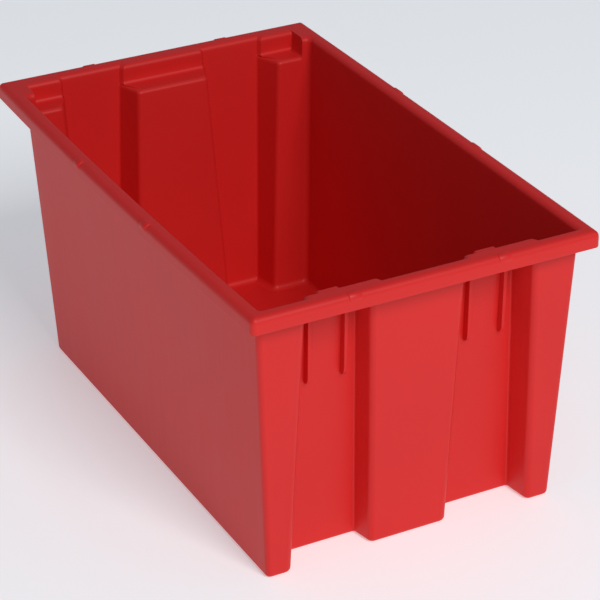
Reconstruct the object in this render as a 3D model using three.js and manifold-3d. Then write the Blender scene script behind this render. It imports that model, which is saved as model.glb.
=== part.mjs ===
// Stack-and-nest tote in one injection moulding. Millimetres, +Z up.
// The origin is the centre of the footprint on the floor. +Y runs along the length: -Y is the
// ribbed front end, +Y the rear end. The wall regions of the moulding are separate meshes.
import * as THREE from "three";
import { mergeVertices } from "three/addons/utils/BufferGeometryUtils.js";
import Module from "manifold-3d";

// Overall size, over the rim
const LENGTH = 457.2;
const WIDTH = 279.4;
const HEIGHT = 228.6;

// Plastic thickness and the joint line between neighbouring regions
const WALL = 2.6;
const FLOOR = 3;
const GAP = 0.3;

// Rim: a flat flange that turns down into a lip
const LIP_HEIGHT = 13;
const FLANGE = 3;
const RIM_CORNER = 4;
const RIM_EDGE = 5;
const RIM_INNER_EDGE = 4;

// Nubs: short round bars sunk into the rim's rounded edge, two along each side
const NUB_LENGTH = 11.5;
const NUB_RADIUS = 4.3;
const NUB_INSET = 4;
const NUB_OFFSET = 60;

// Stacking ledges
const LEDGE_TOP = 212;
const LEDGE_UNDER = LEDGE_TOP - WALL;

// Above the front ledges the pilaster and the corner posts step outwards
const STEP_UNDER = 217;
const STEP_TOP = STEP_UNDER + WALL;

// Locating lugs standing on the front ledges
const LUG_INNER = 54.8;
const LUG_OUTER = 72.6;
const LUG_FRONT = 31.2;
const LUG_BACK = 36.6;
const LUG_TOP = 217.3;

// Edge roundings
const BODY_CORNER = 4;
const REAR_CORNER = 7.5;
const POST_CORNER = 4.5;
const RECESS_CORNER = 1.5;
const FOOT_ROUND = 3.5;
const FLOOR_FILLET = 4;

// Each drafted face is stated twice: at the lip's lower edge and at the floor.
// Insets are measured inwards from the rim, half widths outwards from the centre plane.
const DRAFT_TOP = HEIGHT - LIP_HEIGHT;
const drafted = (top, bottom) => (z) => bottom + ((top - bottom) * z) / DRAFT_TOP;
const sideInset = drafted(10.2, 19.8);
const postInset = drafted(12.2, 21.8);
const pilasterInset = drafted(16.7, 26.9);
const recessInset = drafted(34.5, 45.8);
const frontUpperInset = 13.8;
const frontStepInset = 9.4;
const frontStepHalf = 35;
const rearUpperInset = 15.4;
const frontPostEdge = drafted(92.5, 100);
const frontRecessOuter = drafted(87, 97);
const frontRecessInner = drafted(41.7, 35.8);
const frontPilasterHalf = drafted(38, 32);
const rearCentreHalf = drafted(28.4, 39.4);
const rearCentreMouth = drafted(35.9, 48.4);
const rearCornerMouth = drafted(91.1, 83.6);
const rearCornerEdge = drafted(100.6, 88.6);
const rearPillarEdge = drafted(119.5, 119.5);

// Ribs below the ledges
const GUSSET_THICK = { top: 3.3, tip: 2.4 };
const GUSSET_TIP = 145;
const GUSSET_REACH = [
  [LEDGE_UNDER, 5.1],
  [170, 6],
  [152, 6.3],
];
const FRONT_GUSSETS = [-79.9, -50.8, 50.8, 79.9];
const REAR_GUSSETS = [-115.5, -14, 14, 115.5];

const RED = 0xc0282b;

const wasm = await Module();
wasm.setup();

// A three.js geometry as a closed solid for the boolean steps.
function solid(geometry) {
  geometry.deleteAttribute("normal");
  geometry.deleteAttribute("uv");
  const merged = mergeVertices(geometry, 1e-3);
  return new wasm.Manifold(
    new wasm.Mesh({
      numProp: 3,
      vertProperties: new Float32Array(merged.getAttribute("position").array),
      triVerts: new Uint32Array(merged.index.array),
    }),
  );
}

// A solid back as a three.js geometry.
function geometryOf(body) {
  const mesh = body.getMesh();
  const geometry = new THREE.BufferGeometry();
  geometry.setAttribute("position", new THREE.BufferAttribute(mesh.vertProperties, 3));
  geometry.setIndex(new THREE.BufferAttribute(mesh.triVerts, 1));
  const flat = geometry.toNonIndexed();
  flat.computeVertexNormals();
  return flat;
}

// A closed outline whose corners [x, y, radius] are each rounded by a short curve.
function rounded(corners) {
  const points = [];
  corners.forEach(([x, y, radius], i) => {
    const corner = new THREE.Vector2(x, y);
    const before = corners[(i + corners.length - 1) % corners.length];
    const after = corners[(i + 1) % corners.length];
    const start = new THREE.Vector2(before[0], before[1]).sub(corner).setLength(radius).add(corner);
    const end = new THREE.Vector2(after[0], after[1]).sub(corner).setLength(radius).add(corner);
    points.push(...new THREE.QuadraticBezierCurve(start, corner, end).getPoints(3));
  });
  return points;
}

// A solid through a stack of outlines with the same number of points, one per height.
function loft(heights, outlineAt) {
  const rings = heights.map(outlineAt);
  const steps = heights.length - 1;
  const geometry = new THREE.ExtrudeGeometry(new THREE.Shape(rings[0]), {
    depth: steps,
    steps,
    bevelEnabled: false,
  });
  const place = geometry.getAttribute("position");
  const here = new THREE.Vector2();
  for (let i = 0; i < place.count; i += 1) {
    here.set(place.getX(i), place.getY(i));
    const level = Math.round(place.getZ(i));
    const gaps = rings[0].map((point) => point.distanceTo(here));
    const target = rings[level][gaps.indexOf(Math.min(...gaps))];
    place.setXYZ(i, target.x, target.y, heights[level]);
  }
  return solid(geometry);
}

// A block between two heights whose plan outline may lean: plan(z) gives its [x, y] corners.
function block(low, high, plan) {
  return loft([low, high], (z) => plan(z).map(([x, y]) => new THREE.Vector2(x, y)));
}

// Right half of an end, from the centre outwards, as [x, inset, radius]. `skin` is how far
// the outline lies inside the outer faces: 0 for the outside, WALL for the inside.
const outward = (radius, skin) => Math.max(radius - skin, 0.6);
const inward = (radius, skin) => radius + skin;

function frontHalf(z, skin, upper, stepped = false) {
  const panel = upper ? frontUpperInset : recessInset(z);
  const centre = stepped ? frontStepHalf : frontPilasterHalf(z);
  const face = stepped ? frontStepInset : pilasterInset(z);
  const post = stepped ? frontStepInset : postInset(z);
  const innerEdge = upper ? centre + 1 : frontRecessInner(z);
  const outerEdge = upper ? frontPostEdge(z) - 1 : frontRecessOuter(z);
  const tight = upper ? 0.2 : 1;
  return [
    [centre - skin, face + skin, outward(POST_CORNER, skin) * tight],
    [innerEdge - skin, panel + skin, inward(RECESS_CORNER, skin) * tight],
    [outerEdge + skin, panel + skin, inward(RECESS_CORNER, skin) * tight],
    [frontPostEdge(z) + skin, post + skin, outward(POST_CORNER, skin) * tight],
    [WIDTH / 2 - sideInset(z) - skin, post + skin, outward(BODY_CORNER, skin)],
  ];
}

function rearHalf(z, skin, upper) {
  const panel = upper ? rearUpperInset : recessInset(z);
  const centreEdge = upper ? rearCentreMouth(z) - 1 : rearCentreHalf(z);
  const cornerEdge = upper ? rearCornerMouth(z) + 1 : rearCornerEdge(z);
  const tight = upper ? 0.2 : 1;
  return [
    [centreEdge + skin, panel + skin, inward(RECESS_CORNER, skin) * tight],
    [rearCentreMouth(z) + skin, postInset(z) + skin, outward(POST_CORNER, skin) * tight],
    [rearCornerMouth(z) - skin, postInset(z) + skin, outward(POST_CORNER, skin) * tight],
    [cornerEdge - skin, panel + skin, inward(RECESS_CORNER, skin) * tight],
    [WIDTH / 2 - sideInset(z) - skin, panel + skin, outward(REAR_CORNER, skin)],
  ];
}

// The inside of the rear end above its ledges, with a pillar left standing in each corner.
function rearUpperInside(z, skin) {
  const half = rearHalf(z, skin, true);
  const panel = rearUpperInset + skin;
  const pillar = recessInset(LEDGE_TOP) + skin;
  half.pop();
  half.push([rearPillarEdge(z) + WALL - skin, panel, 0.6]);
  half.push([rearPillarEdge(z) + WALL - skin, pillar, 0.6]);
  half.push([WIDTH / 2 - sideInset(z) - skin, pillar, outward(REAR_CORNER, skin)]);
  return half;
}

// The whole plan outline, anticlockwise, from the right halves of both ends.
function outline(front, rear) {
  const right = front.map(([x, inset, radius]) => [x, inset - LENGTH / 2, radius]);
  const back = rear.map(([x, inset, radius]) => [x, LENGTH / 2 - inset, radius]).reverse();
  const half = [...right, ...back];
  const mirrored = half.map(([x, y, radius]) => [-x, y, radius]).reverse();
  return rounded([...half, ...mirrored]);
}

// Quarter-round steps as [share of the way in, share of the way up] of the radius.
const quarter = (count) =>
  Array.from({ length: count + 1 }, (_, i) => {
    const angle = (i * Math.PI) / (2 * count);
    return [1 - Math.sin(angle), 1 - Math.cos(angle)];
  });

// Lower body, rounded under its foot, and the plain band above the ledges' undersides.
const footLevels = quarter(2).map(([reach, rise]) => [rise * FOOT_ROUND, reach * FOOT_ROUND]);
const footSkin = new Map(footLevels);
const outside = loft([...footSkin.keys(), LEDGE_UNDER], (z) => {
  const skin = footSkin.get(z) ?? 0;
  return outline(frontHalf(z, skin, false), rearHalf(z, skin, false));
})
  .add(
    loft([LEDGE_UNDER, STEP_UNDER], (z) => outline(frontHalf(z, 0, true), rearHalf(z, 0, true))),
  )
  .add(
    loft([STEP_UNDER, HEIGHT - FLANGE - GAP], (z) =>
      outline(frontHalf(z, 0, true, true), rearHalf(z, 0, true)),
    ),
  );

// The hollow: bulged ends up to the ledges, plain ends above, eased at the top edge.
const floorLevels = quarter(2).map(([reach, rise]) => [
  FLOOR + rise * FLOOR_FILLET,
  WALL + reach * FLOOR_FILLET,
]);
const floorSkin = new Map(floorLevels);
const edgeLevels = quarter(2).map(([reach, rise]) => [
  HEIGHT - reach * RIM_INNER_EDGE,
  WALL - rise * RIM_INNER_EDGE,
]);
const edgeSkin = new Map(edgeLevels);
const hollow = loft([...floorSkin.keys(), LEDGE_TOP], (z) => {
  const skin = floorSkin.get(z) ?? WALL;
  return outline(frontHalf(z, skin, false), rearHalf(z, skin, false));
})
  .add(
    loft([LEDGE_TOP, STEP_TOP], (z) =>
      outline(frontHalf(z, WALL, true), rearUpperInside(z, WALL)),
    ),
  )
  .add(
    loft([STEP_TOP, ...edgeSkin.keys(), HEIGHT + 5], (z) => {
      const skin = edgeSkin.get(z) ?? (z > HEIGHT ? WALL - RIM_INNER_EDGE : WALL);
      return outline(frontHalf(z, skin, true, true), rearUpperInside(z, skin));
    }),
  );

// Lugs on the front ledges, rounded over at their top corners.
const lugs = [-1, 1].map((way) => {
  const profile = new THREE.Shape();
  profile.moveTo(LUG_INNER, LEDGE_TOP - 1);
  profile.lineTo(LUG_OUTER, LEDGE_TOP - 1);
  profile.lineTo(LUG_OUTER, LUG_TOP - 3);
  profile.quadraticCurveTo(LUG_OUTER, LUG_TOP, LUG_OUTER - 3, LUG_TOP);
  profile.lineTo(LUG_INNER + 3, LUG_TOP);
  profile.quadraticCurveTo(LUG_INNER, LUG_TOP, LUG_INNER, LUG_TOP - 3);
  const lug = new THREE.ExtrudeGeometry(profile, {
    depth: LUG_BACK - LUG_FRONT,
    bevelEnabled: false,
    curveSegments: 4,
  });
  lug.translate(way < 0 ? -LUG_INNER - LUG_OUTER : 0, 0, 0);
  lug.rotateX(Math.PI / 2);
  lug.translate(0, LUG_BACK - LENGTH / 2, 0);
  return solid(lug);
});

const body = lugs.reduce((made, lug) => made.add(lug), outside.subtract(hollow));

// Rim ring, with its top outer edge rounded over.
function rimOutline(inset) {
  const x = WIDTH / 2 - inset;
  const y = LENGTH / 2 - inset;
  const radius = Math.max(RIM_CORNER - inset, 0.4);
  return rounded([
    [x, -y, radius],
    [x, y, radius],
    [-x, y, radius],
    [-x, -y, radius],
  ]);
}
const rimEdge = new Map(
  quarter(3).map(([reach, rise]) => [HEIGHT - reach * RIM_EDGE, rise * RIM_EDGE]),
);
const nubs = [-NUB_OFFSET, NUB_OFFSET].flatMap((along) =>
  [-1, 1].flatMap((side) => {
    const bar = () => new THREE.CapsuleGeometry(NUB_RADIUS, NUB_LENGTH - NUB_RADIUS, 4, 20);
    const acrossEnd = bar().rotateZ(Math.PI / 2);
    acrossEnd.translate(along, side * (LENGTH / 2 - NUB_INSET), HEIGHT - NUB_INSET);
    const alongSide = bar();
    alongSide.translate(side * (WIDTH / 2 - NUB_INSET), along, HEIGHT - NUB_INSET);
    return [solid(acrossEnd), solid(alongSide)];
  }),
);
const ring = nubs
  .reduce(
    (made, nub) => made.add(nub),
    loft([HEIGHT - LIP_HEIGHT, ...rimEdge.keys()], (z) => rimOutline(rimEdge.get(z) ?? 0)),
  )
  .subtract(loft([HEIGHT - LIP_HEIGHT - 5, HEIGHT - FLANGE], () => rimOutline(WALL)))
  .subtract(hollow);

// Gussets: thin ribs on the recess panels, thicker and shallower towards the ledge.
function gusset(x, end) {
  const top = LEDGE_UNDER - GAP;
  const face = (z) => recessInset(z) - GAP;
  const profile = new THREE.Shape();
  profile.moveTo(face(GUSSET_TIP), GUSSET_TIP);
  profile.lineTo(face(top), top);
  for (const [z, reach] of GUSSET_REACH) {
    profile.lineTo(recessInset(z) - reach, Math.min(z, top));
  }
  const [lowest, reach] = GUSSET_REACH.at(-1);
  const tip = recessInset(GUSSET_TIP);
  profile.bezierCurveTo(
    recessInset(lowest) - reach, lowest - 4, tip - 4, GUSSET_TIP, face(GUSSET_TIP), GUSSET_TIP,
  );
  const rib = new THREE.ExtrudeGeometry(profile, {
    depth: 1,
    bevelEnabled: false,
    curveSegments: 5,
  });
  // Stands the profile's (inset, height) plane upright across the end of the tote.
  rib.translate(0, 0, -0.5);
  rib.applyMatrix4(new THREE.Matrix4().makeBasis(
    new THREE.Vector3(0, -end, 0),
    new THREE.Vector3(0, 0, 1),
    new THREE.Vector3(-end, 0, 0),
  ));
  const place = rib.getAttribute("position");
  for (let i = 0; i < place.count; i += 1) {
    const share = (place.getZ(i) - GUSSET_TIP) / (top - GUSSET_TIP);
    place.setX(i, place.getX(i) * THREE.MathUtils.lerp(GUSSET_THICK.tip, GUSSET_THICK.top, share));
  }
  rib.translate(x, (end * LENGTH) / 2, 0);
  return solid(rib);
}

// Regions are cut from the body one after another. Each block is made twice, the second
// time grown by the joint gap, so what is left stands clear of what was taken.
const part = new THREE.Group();
part.name = "stack_and_nest_tote";

function addNode(name, shape) {
  const finish = new THREE.MeshStandardMaterial({ color: RED, roughness: 0.42, metalness: 0 });
  const mesh = new THREE.Mesh(geometryOf(shape), finish);
  mesh.name = name;
  part.add(mesh);
}

let left = body;
function take(name, makeBlock) {
  addNode(name, left.intersect(makeBlock(0)));
  left = left.subtract(makeBlock(GAP));
}

const WALL_FOOT = FLOOR + GAP;
const BELOW_LEDGE = LEDGE_UNDER - GAP;
const END_DEPTH = 53;
const FLAT = 3.2;

// Plan rectangle on one end: x range and how far in from the rim it starts and stops.
const endBox = (xa, xb, near, far, end) => {
  const ya = end * (LENGTH / 2 - near);
  const yb = end * (LENGTH / 2 - far);
  const [lowX, highX] = [Math.min(xa, xb), Math.max(xa, xb)];
  const [lowY, highY] = [Math.min(ya, yb), Math.max(ya, yb)];
  return [
    [lowX, lowY],
    [highX, lowY],
    [highX, highY],
    [lowX, highY],
  ];
};

const WAYS = [
  ["left", -1],
  ["right", 1],
];

take("floor_panel", (gap) => block(-5, FLOOR + gap, () => endBox(-200, 200, -20, 480, 1)));

// Ledges with the plain wall behind them.
for (const [hand, way] of WAYS) {
  take(`front_${hand}_ledge`, (gap) =>
    block(LEDGE_UNDER - gap, HEIGHT, (z) =>
      endBox(
        way * (frontPilasterHalf(z) - WALL - gap),
        way * (frontPostEdge(z) + WALL + gap),
        frontUpperInset - gap,
        END_DEPTH + gap,
        -1,
      ),
    ),
  );
  take(`rear_${hand}_ledge`, (gap) =>
    block(LEDGE_UNDER - gap, HEIGHT, (z) =>
      endBox(way * (rearCornerMouth(z) - WALL - gap), way * 200, rearUpperInset - gap, END_DEPTH + gap, 1),
    ),
  );
}
take("rear_centre_ledge", (gap) =>
  block(LEDGE_UNDER - gap, HEIGHT, (z) => {
    const half = rearCentreMouth(z) + WALL + gap;
    return endBox(-half, half, rearUpperInset - gap, END_DEPTH + gap, 1);
  }),
);

// Recess panels.
for (const [hand, way] of WAYS) {
  take(`front_${hand}_recess_panel`, (gap) =>
    block(WALL_FOOT - gap, BELOW_LEDGE + gap, (z) =>
      endBox(
        way * (frontRecessInner(z) + FLAT - gap),
        way * (frontRecessOuter(z) - FLAT + gap),
        25,
        END_DEPTH + 5,
        -1,
      ),
    ),
  );
  take(`rear_${hand}_corner_panel`, (gap) =>
    block(WALL_FOOT - gap, BELOW_LEDGE + gap, (z) =>
      endBox(way * (rearCornerEdge(z) + FLAT - gap), way * 200, 25, END_DEPTH + gap, 1),
    ),
  );
}
take("rear_centre_recess_panel", (gap) =>
  block(WALL_FOOT - gap, BELOW_LEDGE + gap, (z) => {
    const half = rearCentreHalf(z) - FLAT + gap;
    return endBox(-half, half, 25, END_DEPTH + 5, 1);
  }),
);

// Posts and pilasters.
take("front_centre_pilaster", (gap) =>
  block(WALL_FOOT - gap, HEIGHT, () => endBox(-60, 60, -5, END_DEPTH + 5, -1)),
);
for (const [hand, way] of WAYS) {
  take(`front_${hand}_corner_post`, (gap) =>
    block(WALL_FOOT - gap, HEIGHT, () => endBox(way * 60, way * 200, -5, END_DEPTH + gap, -1)),
  );
  take(`rear_${hand}_pilaster`, (gap) =>
    block(WALL_FOOT - gap, HEIGHT, () => endBox(way * 10, way * 110, -5, END_DEPTH + 5, 1)),
  );
}

// Long side walls.
for (const [hand, way] of WAYS) {
  take(`${hand}_side_wall`, (gap) =>
    block(WALL_FOOT - gap, HEIGHT, () => endBox(way * 90, way * 200, END_DEPTH - 5, LENGTH - 45, 1)),
  );
}

// Rim rails, mitred at the corners.
const MITRE = 70;
const railX = WIDTH / 2 + 5;
const railY = LENGTH / 2 + 5;
const trim = GAP / Math.SQRT2;
for (const [name, end] of [
  ["front_rim_rail", -1],
  ["rear_rim_rail", 1],
]) {
  const plan = [
    [-railX + trim, end * railY],
    [railX - trim, end * railY],
    [railX - MITRE - trim, end * (railY - MITRE)],
    [-railX + MITRE + trim, end * (railY - MITRE)],
  ];
  const turned = end < 0 ? plan : plan.reverse();
  addNode(name, ring.intersect(block(HEIGHT - 30, HEIGHT + 10, () => turned)));
}
for (const [hand, way] of WAYS) {
  const plan = [
    [way * railX, -railY + trim],
    [way * railX, railY - trim],
    [way * (railX - MITRE), railY - MITRE - trim],
    [way * (railX - MITRE), -railY + MITRE + trim],
  ];
  const turned = way > 0 ? plan : plan.reverse();
  addNode(`${hand}_rim_rail`, ring.intersect(block(HEIGHT - 30, HEIGHT + 10, () => turned)));
}

// Gussets, numbered from left to right.
FRONT_GUSSETS.forEach((x, i) => addNode(`front_gusset_${i + 1}`, gusset(x, -1)));
REAR_GUSSETS.forEach((x, i) => addNode(`rear_gusset_${i + 1}`, gusset(x, 1)));

export default part;
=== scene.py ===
import math

import bmesh
import bpy
from mathutils import Matrix, Vector


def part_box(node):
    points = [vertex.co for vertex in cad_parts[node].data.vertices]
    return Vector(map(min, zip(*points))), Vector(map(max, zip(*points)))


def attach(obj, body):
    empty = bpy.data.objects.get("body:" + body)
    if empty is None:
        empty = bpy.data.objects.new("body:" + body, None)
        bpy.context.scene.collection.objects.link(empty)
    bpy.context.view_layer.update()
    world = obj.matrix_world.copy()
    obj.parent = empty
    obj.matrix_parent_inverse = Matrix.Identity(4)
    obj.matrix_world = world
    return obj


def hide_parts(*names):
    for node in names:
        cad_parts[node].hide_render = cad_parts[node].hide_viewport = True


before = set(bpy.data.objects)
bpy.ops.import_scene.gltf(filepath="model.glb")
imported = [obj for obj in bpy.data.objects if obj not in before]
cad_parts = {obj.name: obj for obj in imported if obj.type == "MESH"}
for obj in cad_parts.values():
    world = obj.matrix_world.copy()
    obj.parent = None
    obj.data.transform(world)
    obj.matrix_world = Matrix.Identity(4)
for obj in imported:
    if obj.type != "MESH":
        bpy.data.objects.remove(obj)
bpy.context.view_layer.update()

# ---------------------------------------------------------------------------------------
# Viewpoint. The tote is looked at from in front of its ribbed end, a little to its left
# and from above, through a long lens that keeps its sides nearly parallel.
MM = 0.001
view_azimuth = math.radians(-27.62)
view_elevation = math.radians(28.29)
view_roll = math.radians(-0.41)
view_distance = 2005.8 * MM
view_aside = 13.84 * MM
view_up = 88.43 * MM
lens_over_sensor = 2490.9 / 600

back = Vector((
    math.sin(view_azimuth) * math.cos(view_elevation),
    -math.cos(view_azimuth) * math.cos(view_elevation),
    math.sin(view_elevation),
))
aside = Vector((0, 0, 1)).cross(back).normalized()
upward = back.cross(aside)
across = math.cos(view_roll) * aside + math.sin(view_roll) * upward
above = math.cos(view_roll) * upward - math.sin(view_roll) * aside
viewpoint = back * view_distance + across * view_aside + above * view_up

lens = bpy.data.cameras.new("studio_camera")
lens.sensor_fit = "HORIZONTAL"
lens.sensor_width = 36
lens.lens = 36 * lens_over_sensor
lens.clip_end = 20
camera = bpy.data.objects.new("studio_camera", lens)
camera.matrix_world = Matrix.Translation(viewpoint) @ Matrix((across, above, back)).transposed().to_4x4()
bpy.context.scene.collection.objects.link(camera)
bpy.context.scene.camera = camera

# ---------------------------------------------------------------------------------------
# Red polypropylene. The tote is coloured right through and left as it leaves the mould:
# a smooth, half-glossy skin with faint flow clouds, draw lines down the walls and a very
# fine pebble from the tool's surface.


class Socket:
    """An output of a shader node that can be used in sums."""

    def __init__(self, tree, socket):
        self.tree = tree
        self.socket = socket

    def maths(self, operation, left, right):
        return self.tree.node("ShaderNodeMath", {"operation": operation}, {0: left, 1: right})

    def __add__(self, other):
        return self.maths("ADD", self, other)

    def __radd__(self, other):
        return self.maths("ADD", other, self)

    def __sub__(self, other):
        return self.maths("SUBTRACT", self, other)

    def __rsub__(self, other):
        return self.maths("SUBTRACT", other, self)

    def __mul__(self, other):
        return self.maths("MULTIPLY", self, other)

    def __rmul__(self, other):
        return self.maths("MULTIPLY", other, self)


class Finish:
    """A material and the nodes that make it."""

    def __init__(self, name):
        self.material = bpy.data.materials.new(name)
        self.material.use_nodes = True
        self.nodes = self.material.node_tree.nodes
        self.links = self.material.node_tree.links
        self.shader = self.nodes["Principled BSDF"]

    def node(self, kind, settings, inputs, output=0):
        made = self.nodes.new(kind)
        for name, value in settings.items():
            if name == "stops":
                for stop, (place, colour) in zip(made.color_ramp.elements, value):
                    stop.position = place
                    stop.color = colour
            else:
                setattr(made, name, value)
        for name, value in inputs.items():
            if isinstance(value, Socket):
                self.links.new(value.socket, made.inputs[name])
            else:
                made.inputs[name].default_value = value
        return Socket(self, made.outputs[output])

    def feed(self, name, value):
        if isinstance(value, Socket):
            self.links.new(value.socket, self.shader.inputs[name])
        else:
            self.shader.inputs[name].default_value = value


plastic = Finish("red_polypropylene")
place = plastic.node("ShaderNodeTexCoord", {}, {}, "Object")
stretched = plastic.node("ShaderNodeMapping", {}, {"Vector": place, "Scale": (1, 1, 0.06)})
clouds = plastic.node("ShaderNodeTexNoise", {}, {"Vector": place, "Scale": 9, "Detail": 3, "Roughness": 0.5})
draw_lines = plastic.node("ShaderNodeTexNoise", {}, {"Vector": stretched, "Scale": 170, "Detail": 2})
pebble = plastic.node("ShaderNodeTexNoise", {}, {"Vector": place, "Scale": 900, "Detail": 2})
swell = plastic.node("ShaderNodeTexNoise", {}, {"Vector": place, "Scale": 14, "Detail": 1})

deep_red = (0.67, 0.015, 0.014, 1)
warm_red = (0.75, 0.022, 0.018, 1)
plastic.feed("Base Color", plastic.node(
    "ShaderNodeMix",
    {"data_type": "RGBA"},
    {"Factor": clouds, 6: deep_red, 7: warm_red},
    2,
))
plastic.feed("Roughness", 0.39 + 0.08 * clouds + 0.06 * draw_lines)
plastic.feed("Normal", plastic.node(
    "ShaderNodeBump",
    {},
    {"Strength": 0.25, "Distance": 0.0006, "Height": 0.12 * pebble + 0.10 * draw_lines + 1.2 * swell},
))
plastic.feed("IOR", 1.49)
plastic.feed("Specular IOR Level", 0.30)

# ---------------------------------------------------------------------------------------
# The moulding: floor, tapering walls, ribbed ends, stacking ledges and the turned-down
# rim, all shot in one piece. Its skin is drawn as a stack of closed rings, from the floor
# up the inside, over the rim and down the outside to the foot.
half_width = 139.7
half_length = 228.6
height = 228.6
wall = 2.6
floor = 3.0
lip_foot = 215.6
flange = 3.0
ledge_top = 212.0
ledge_under = ledge_top - wall
floor_fillet = 5.0
foot_round = 3.5
ledge_round = 3.2
ledge_fillet = 3.0
rim_round = 5.0
rim_inner_round = 4.0
rim_corner = 4.0
arc_steps = 5
side_stations = [-170 + 17 * k for k in range(21)]


def drafted(top, bottom):
    return lambda z: bottom + (top - bottom) * z / lip_foot


side_inset = drafted(10.2, 19.8)
post_inset = drafted(12.2, 21.8)
pilaster_inset = drafted(16.7, 26.9)
recess_inset = drafted(34.5, 45.8)
front_upper_inset = 13.8
rear_upper_inset = 15.4
front_step_inset = 9.4
front_step_half = 35.0
front_pilaster = drafted(38, 32)
front_recess_inner = drafted(41.7, 35.8)
front_recess_outer = drafted(87, 97)
front_post = drafted(92.5, 100)
rear_centre = drafted(28.4, 39.4)
rear_centre_mouth = drafted(35.9, 48.4)
rear_corner_mouth = drafted(91.1, 83.6)
rear_corner = drafted(100.6, 88.6)
pillar_edge = drafted(120, 106)


def mixed(low, high, share):
    return [a + (b - a) * share for a, b in zip(low, high)]


def outward(radius, skin):
    return max(radius - skin, 0.7)


# The channels' edges are well rounded below the ledges and nearly sharp above them.
def mouth_round(skin, share):
    return outward(5, skin) * (1 - share) + 0.5 * share


# Each corner is [x, inset, radius], and whether it belongs to a ledge. `skin` is the depth
# below the outer faces, `share` runs from the recessed wall (0) to the plain band over a
# ledge (1), `ease` moves only the ledge corners, which rounds the ledge's edges, and
# `step` runs from the drafted front faces (0) to the same faces stepped out near the rim.
def front_corners(z, skin, share, ease, step):
    near = skin + ease
    panel_low = recess_inset(z) + near
    panel_high = front_upper_inset + near
    centre = front_pilaster(z) + (front_step_half - front_pilaster(z)) * step
    face = pilaster_inset(z) + (front_step_inset - pilaster_inset(z)) * step + skin
    post = post_inset(z) + (front_step_inset - post_inset(z)) * step + skin
    side = half_width - side_inset(z) - skin
    return [
        ([centre - skin, face, mouth_round(skin, share)], False),
        (mixed(
            [front_recess_inner(z) - near, panel_low, 1.5 + skin],
            [centre + 2.5 - skin, panel_high, 1.2],
            share,
        ), True),
        (mixed(
            [front_recess_outer(z) + near, panel_low, 1.5 + skin],
            [front_post(z) - 2.5 + skin, panel_high, 1.2],
            share,
        ), True),
        ([front_post(z) + skin, post, mouth_round(skin, share)], False),
        ([side, post, outward(4, skin) if skin < 1 else 3.0], False),
    ]


def rear_corners(z, skin, share, ease, pillar):
    near = skin + ease
    panel_low = recess_inset(z) + near
    panel_high = rear_upper_inset + near
    side = half_width - side_inset(z) - skin
    corners = [
        (mixed(
            [rear_centre(z) + near, panel_low, 1.5 + skin],
            [rear_centre_mouth(z) - 2.5 + skin, panel_high, 1.2],
            share,
        ), True),
        ([rear_centre_mouth(z) + skin, post_inset(z) + skin, mouth_round(skin, share)], False),
        ([rear_corner_mouth(z) - skin, post_inset(z) + skin, mouth_round(skin, share)], False),
        (mixed(
            [rear_corner(z) - near, panel_low, 1.5 + skin],
            [rear_corner_mouth(z) + 2.5 - skin, panel_high, 1.2],
            share,
        ), True),
    ]
    if pillar:
        front_of_pillar = recess_inset(z) + skin
        corners += [
            (mixed([pillar_edge(z) - 1.2, panel_low, 0.3], [pillar_edge(z) - ease, panel_high, 1.5], share), True),
            ([pillar_edge(z), front_of_pillar, 0.3 + 0.5 * share], False),
            ([side, front_of_pillar, 4.5], False),
        ]
    else:
        panel = recess_inset(z) + near + (panel_high - panel_low) * share
        corners += [
            ([rear_corner(z) + 6, panel, 0.3], True),
            ([rear_corner(z) + 9, panel, 0.3], True),
            ([side, panel, outward(7.5, skin)], True),
        ]
    return corners


# Turns a ring's corners into points, each rounded by the same number of short chords.
def rounded(corners):
    points = []
    count = len(corners)
    for i, ((x, y, radius), ledge) in enumerate(corners):
        corner = Vector((x, y))
        before = Vector(corners[i - 1][0][:2])
        after = Vector(corners[(i + 1) % count][0][:2])
        to_before = (before - corner).normalized()
        to_after = (after - corner).normalized()
        turn = math.acos(max(-1, min(1, -to_before.dot(to_after))))
        hand = 1 if to_before.cross(to_after) > 0 else -1
        start = corner + to_before * radius * math.tan(turn / 2)
        end = corner + to_after * radius * math.tan(turn / 2)
        if turn < 0.02:
            start = corner + to_before * radius
            end = corner + to_after * radius
        for k in range(arc_steps + 1):
            t = k / arc_steps
            if turn < 0.02:
                point = start.lerp(end, t)
            else:
                inner = start + Vector((-to_before.y, to_before.x)) * radius * hand
                ray = start - inner
                angle = -turn * t * hand
                turned = Vector((
                    ray.x * math.cos(angle) - ray.y * math.sin(angle),
                    ray.x * math.sin(angle) + ray.y * math.cos(angle),
                ))
                point = inner + turned
            points.append((point.x, point.y, ledge))
    return points


def with_sides(right_half):
    """Closes a ring from the corners of its right half, with stations along both sides."""
    mirrored = [([-x, y, radius], ledge) for (x, y, radius), ledge in reversed(right_half)]
    points = rounded(right_half + mirrored)
    per_corner = arc_steps + 1
    front_count = 5 * per_corner
    rear_count = 7 * per_corner
    right_end = front_count
    left_start = front_count + 2 * rear_count
    right_x = (points[right_end - 1][0], points[right_end][0])
    left_x = (points[left_start - 1][0], points[left_start][0])

    def station(y, edge, reverse):
        share = (y + half_length) / (2 * half_length)
        share = 1 - share if reverse else share
        return (edge[0] + (edge[1] - edge[0]) * share, y, False)

    right = [station(y, right_x, False) for y in side_stations]
    left = [station(y, left_x, True) for y in reversed(side_stations)]
    return points[:right_end] + right + points[right_end:left_start] + left + points[left_start:]


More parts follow.
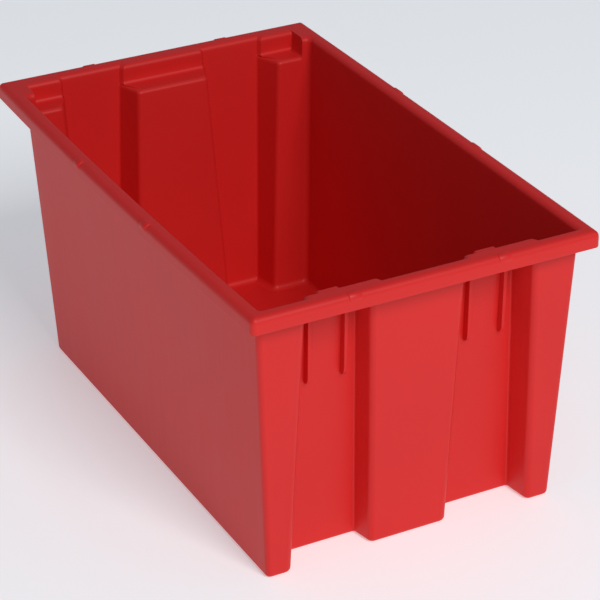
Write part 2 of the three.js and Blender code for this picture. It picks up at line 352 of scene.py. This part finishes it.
def wall_ring(z, skin, share=0.0, ease=0.0, ledge_z=None, pillar=False, step=0.0):
    front = [([x, inset - half_length, r], ledge) for (x, inset, r), ledge in front_corners(z, skin, share, ease, step)]
    rear = [([x, half_length - inset, r], ledge) for (x, inset, r), ledge in rear_corners(z, skin, share, ease, pillar)]
    ring = with_sides(front + rear[::-1])
    ledge_z = z if ledge_z is None else ledge_z
    return [(x, y, ledge_z if ledge else z) for x, y, ledge in ring]


# Rings on the rim run through the same stations, set square to its four sides.
def rim_ring(z, inset):
    x = half_width - inset
    y = half_length - inset
    radius = max(rim_corner - inset, 0.5)
    per_corner = arc_steps + 1
    right = []
    for place in (34, 42, 88, 98):
        right += [(place - 2.5 + 5 * k / arc_steps, -y) for k in range(per_corner)]
    for k in range(per_corner):
        angle = math.pi / 2 * k / arc_steps
        right.append((x - radius + radius * math.sin(angle), -y + radius - radius * math.cos(angle)))
    right += [(x, station) for station in side_stations]
    for k in range(per_corner):
        angle = math.pi / 2 * k / arc_steps
        right.append((x - radius + radius * math.cos(angle), y - radius + radius * math.sin(angle)))
    for place in (127.5, 118, 93, 86, 40, 32):
        right += [(place + 2 - 4 * k / arc_steps, y) for k in range(per_corner)]
    return [(px, py, z) for px, py in right + [(-a, b) for a, b in reversed(right)]]


def quarter(count):
    return [math.pi / 2 * k / count for k in range(count + 1)]


rings = []
add = rings.append


# Inside, from the floor up.
for angle in quarter(5):
    add(wall_ring(
        floor + floor_fillet * (1 - math.cos(angle)),
        wall + floor_fillet * (1 - math.sin(angle)),
        pillar=True,
    ))
for z in (30, 55, 80, 105, 130, 155, 180, 200):
    add(wall_ring(z, wall, pillar=True))
for angle in quarter(4):
    add(wall_ring(
        ledge_top - 0.1 - ledge_round * (1 - math.sin(angle)),
        wall,
        ease=-ledge_round * (1 - math.cos(angle)),
        ledge_z=ledge_top - ledge_round * (1 - math.sin(angle)),
        pillar=True,
    ))
for angle in quarter(3):
    add(wall_ring(
        ledge_top + 0.1 + ledge_fillet * (1 - math.cos(angle)),
        wall,
        share=1,
        ease=ledge_fillet * (1 - math.sin(angle)),
        ledge_z=ledge_top + ledge_fillet * (1 - math.cos(angle)),
        pillar=True,
    ))
for z, step in ((219.2, 0), (219.55, 0.12), (219.7, 0.7), (220.1, 0.93), (221.2, 1)):
    add(wall_ring(z, wall, share=1, pillar=True, step=step))
for angle in quarter(5):
    add(wall_ring(
        height - rim_inner_round * (1 - math.sin(angle)),
        wall - rim_inner_round * (1 - math.cos(angle)),
        share=1,
        pillar=True,
        step=1,
    ))

# Over the rim, round its edge, down the lip and back up inside it.
for angle in quarter(6):
    add(rim_ring(height - rim_round * (1 - math.cos(angle)), rim_round * (1 - math.sin(angle))))
for angle in quarter(2):
    add(rim_ring(lip_foot + 0.8 * (1 - math.sin(angle)), 0.8 * (1 - math.cos(angle))))
for angle in quarter(2):
    add(rim_ring(lip_foot + 0.8 * (1 - math.cos(angle)), wall - 0.8 * (1 - math.sin(angle))))
for angle in quarter(2):
    add(rim_ring(height - flange - 1.0 * (1 - math.sin(angle)), wall + 1.0 * (1 - math.cos(angle))))

# Outside, from under the flange down to the foot.
for angle in quarter(2):
    add(wall_ring(
        height - flange - 1.2 * (1 - math.cos(angle)),
        -1.2 * (1 - math.sin(angle)),
        share=1,
        step=1,
    ))
for z, step in ((217.8, 1), (217.3, 0.85), (217.0, 0.3), (216.7, 0)):
    add(wall_ring(z, 0, share=1, step=step))
for angle in quarter(3):
    add(wall_ring(
        ledge_under + 0.1 + 1.0 * (1 - math.sin(angle)),
        0,
        share=1,
        ease=1.0 * (1 - math.cos(angle)),
        ledge_z=ledge_under + 1.0 * (1 - math.sin(angle)),
    ))
for angle in quarter(3):
    add(wall_ring(
        ledge_under - 0.1 - 1.5 * (1 - math.cos(angle)),
        0,
        ease=-1.5 * (1 - math.sin(angle)),
        ledge_z=ledge_under - 1.5 * (1 - math.cos(angle)),
    ))
for z in (200, 180, 155, 130, 105, 80, 55, 30):
    add(wall_ring(z, 0))
for angle in quarter(5):
    add(wall_ring(foot_round * (1 - math.sin(angle)), foot_round * (1 - math.cos(angle))))

# The long rims cool slower than the corners, so the sides stand out a little at mid-length.
left_bow = 3.8
right_bow = 0.8


def settled(x, y, z):
    share = (1 - (y / half_length) ** 2) * max(z, 0) ** 1.4 / height ** 1.4
    bow = left_bow if x < 0 else right_bow
    return Vector((x + math.copysign(bow, x) * share * (abs(x) / half_width) ** 2, y, z)) * MM


shape = bmesh.new()
rows = [[shape.verts.new(settled(*point)) for point in ring] for ring in rings]
for lower, upper in zip(rows, rows[1:]):
    for i in range(len(lower)):
        j = (i + 1) % len(lower)
        shape.faces.new((lower[i], upper[i], upper[j], lower[j]))
shape.faces.new(rows[0])
shape.faces.new(rows[-1][::-1])
bmesh.ops.recalc_face_normals(shape, faces=shape.faces)
skin_mesh = bpy.data.meshes.new("tote_moulding")
shape.to_mesh(skin_mesh)
shape.free()
skin_mesh.shade_smooth()
tote = bpy.data.objects.new("tote_moulding", skin_mesh)
bpy.context.scene.collection.objects.link(tote)
weighted = tote.modifiers.new("even_shading", "WEIGHTED_NORMAL")
weighted.weight = 100
weighted.thresh = 0.3
tote.data.materials.append(plastic.material)
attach(tote, "root")
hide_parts(*[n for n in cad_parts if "gusset" not in n])

# ---------------------------------------------------------------------------------------
# Gussets: thin ribs moulded under each stacking ledge, which carry its load down into the
# recessed panel behind it. Each is thinner and stands further out towards its tip.
gusset_tip = 145.0
gusset_top_thick = 3.3
gusset_tip_thick = 2.4
gusset_reach = [(209.4, 5.1), (190, 5.6), (170, 6.0), (152, 6.3)]


def gusset(name, x, end):
    top = ledge_under + 0.5
    outline = [(recess_inset(gusset_tip) + 1.2, gusset_tip - 0.6), (recess_inset(top) + 1.2, top)]
    outline.append((recess_inset(top) - 5.1, top))
    outline += [(recess_inset(z) - reach, z) for z, reach in gusset_reach]
    for k in range(1, 7):
        angle = math.pi / 2 * k / 6
        z = gusset_tip + 7 * (1 - math.sin(angle))
        outline.append((recess_inset(z) - 6.3 * math.cos(angle) ** 0.7, z))
    made = bmesh.new()
    sides = []
    for side in (-1, 1):
        row = []
        for inset, z in outline:
            share = (z - gusset_tip) / (top - gusset_tip)
            half = (gusset_tip_thick + (gusset_top_thick - gusset_tip_thick) * share) / 2
            row.append(made.verts.new(Vector((x + side * half, end * (half_length - inset), z)) * MM))
        sides.append(row)
    made.faces.new(sides[0])
    made.faces.new(sides[1][::-1])
    for i in range(len(outline)):
        j = (i + 1) % len(outline)
        made.faces.new((sides[0][i], sides[0][j], sides[1][j], sides[1][i]))
    bmesh.ops.recalc_face_normals(made, faces=made.faces)
    mesh = bpy.data.meshes.new(name)
    made.to_mesh(mesh)
    made.free()
    mesh.shade_smooth()
    rib = bpy.data.objects.new(name, mesh)
    bpy.context.scene.collection.objects.link(rib)
    easing = rib.modifiers.new("eased_edges", "BEVEL")
    easing.width = 0.7 * MM
    easing.segments = 3
    easing.limit_method = "ANGLE"
    easing.angle_limit = math.radians(40)
    even = rib.modifiers.new("even_shading", "WEIGHTED_NORMAL")
    even.weight = 100
    rib.data.materials.append(plastic.material)
    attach(rib, "root")
    return rib


for node in sorted(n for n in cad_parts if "gusset" in n):
    low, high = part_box(node)
    end = -1 if node.startswith("front") else 1
    rib = gusset(node.replace("gusset", "rib"), (low.x + high.x) / 2 / MM, end)
    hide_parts(node)

# ---------------------------------------------------------------------------------------
# Nubs: short round bars sunk into the rounded edge of the rim, two along each side, which
# stop nested totes from wedging. They follow the settled rim.
nub_length = 11.5
nub_radius = 4.3
nub_inset = 4.0


def nub(name, x, y, along_x):
    made = bmesh.new()
    profile = [(-1.0, 0.0)]
    for k in range(1, 6):
        angle = math.pi / 2 * k / 5
        profile.append((-1.0 + 0.22 * (1 - math.cos(angle)), math.sin(angle)))
    profile += [(-p, r) for p, r in reversed(profile)]
    rows = []
    for p, r in profile:
        row = []
        for k in range(24):
            turn = math.tau * k / 24
            out = nub_radius * r * math.cos(turn)
            up = nub_radius * r * math.sin(turn)
            offset = (p * nub_length / 2, out) if along_x else (out, p * nub_length / 2)
            row.append(made.verts.new(settled(x + offset[0], y + offset[1], height - nub_inset + up)))
        rows.append(row)
    for lower, upper in zip(rows, rows[1:]):
        for k in range(24):
            j = (k + 1) % 24
            made.faces.new((lower[k], upper[k], upper[j], lower[j]))
    bmesh.ops.remove_doubles(made, verts=made.verts, dist=1e-7)
    bmesh.ops.recalc_face_normals(made, faces=made.faces)
    mesh = bpy.data.meshes.new(name)
    made.to_mesh(mesh)
    made.free()
    mesh.shade_smooth()
    bar = bpy.data.objects.new(name, mesh)
    bpy.context.scene.collection.objects.link(bar)
    bar.data.materials.append(plastic.material)
    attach(bar, "root")


for k, along in enumerate((-60, 60), 1):
    nub(f"front_rim_nub_{k}", along, nub_inset - half_length, True)
    nub(f"rear_rim_nub_{k}", along, half_length - nub_inset, True)
    nub(f"left_rim_nub_{k}", nub_inset - half_width, along, False)
    nub(f"right_rim_nub_{k}", half_width - nub_inset, along, False)

# ---------------------------------------------------------------------------------------
# Lugs: two low blocks on the front ledges that keep the tote above from sliding. They are
# moulded with the ledge, flush with the front of the bulge below.
lug_inner = 54.8
lug_outer = 72.6
lug_front = 31.2
lug_back = 36.6
lug_top = 217.3

for side, way in (("left", -1), ("right", 1)):
    made = bmesh.new()
    bmesh.ops.create_cube(made, size=1)
    for vert in made.verts:
        vert.co = Vector((
            way * ((lug_inner + lug_outer) / 2 + vert.co.x * (lug_outer - lug_inner)),
            (lug_front + lug_back) / 2 + vert.co.y * (lug_back - lug_front) - half_length,
            lug_top - 5 + vert.co.z * 10,
        )) * MM
    bmesh.ops.recalc_face_normals(made, faces=made.faces)
    mesh = bpy.data.meshes.new(f"front_{side}_lug")
    made.to_mesh(mesh)
    made.free()
    mesh.shade_smooth()
    lug = bpy.data.objects.new(f"front_{side}_lug", mesh)
    bpy.context.scene.collection.objects.link(lug)
    easing = lug.modifiers.new("eased_edges", "BEVEL")
    easing.width = 2.0 * MM
    easing.segments = 4
    even = lug.modifiers.new("even_shading", "WEIGHTED_NORMAL")
    even.weight = 100
    lug.data.materials.append(plastic.material)
    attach(lug, "root")

# ---------------------------------------------------------------------------------------
# Studio: a pale floor that runs on past the view, one broad soft light in front and to
# the right, and an even sky of light around it.
ground = bpy.data.meshes.new("studio_floor")
reach = 6.0
ground.from_pydata(
    [(-reach, -reach, 0), (reach, -reach, 0), (reach, reach, 0), (-reach, reach, 0)],
    [],
    [(0, 1, 2, 3)],
)
studio_floor = bpy.data.objects.new("studio_floor", ground)
bpy.context.scene.collection.objects.link(studio_floor)
paper = Finish("white_paper")
fibres = paper.node("ShaderNodeTexNoise", {}, {
    "Vector": paper.node("ShaderNodeTexCoord", {}, {}, "Object"),
    "Scale": 60,
    "Detail": 4,
})
paper.feed("Base Color", (0.86, 0.86, 0.86, 1))
paper.feed("Emission Color", (0.93, 0.97, 1.0, 1))
paper.feed("Emission Strength", 0.36)
paper.feed("Roughness", 0.75 + 0.1 * fibres)
studio_floor.data.materials.append(paper.material)

sky = bpy.data.worlds.new("studio_sky")
sky.use_nodes = True
sky.node_tree.nodes["Background"].inputs["Color"].default_value = (0.82, 0.88, 1.0, 1)
sky.node_tree.nodes["Background"].inputs["Strength"].default_value = 0.27
bpy.context.scene.world = sky
bpy.context.scene.view_settings.view_transform = "Standard"


def soft_light(name, place, target, size, power):
    lamp = bpy.data.lights.new(name, "AREA")
    lamp.shape = "SQUARE"
    lamp.size = size
    lamp.energy = power
    holder = bpy.data.objects.new(name, lamp)
    holder.location = place
    holder.rotation_euler = (Vector(place) - Vector(target)).to_track_quat("Z", "Y").to_euler()
    bpy.context.scene.collection.objects.link(holder)


soft_light("key_light", (0.15, -3.05, 2.80), (0, 0, 0.1), 1.5, 84)

# ---------------------------------------------------------------------------------------
# Bring the placements of all objects up to date.
bpy.context.view_layer.update()
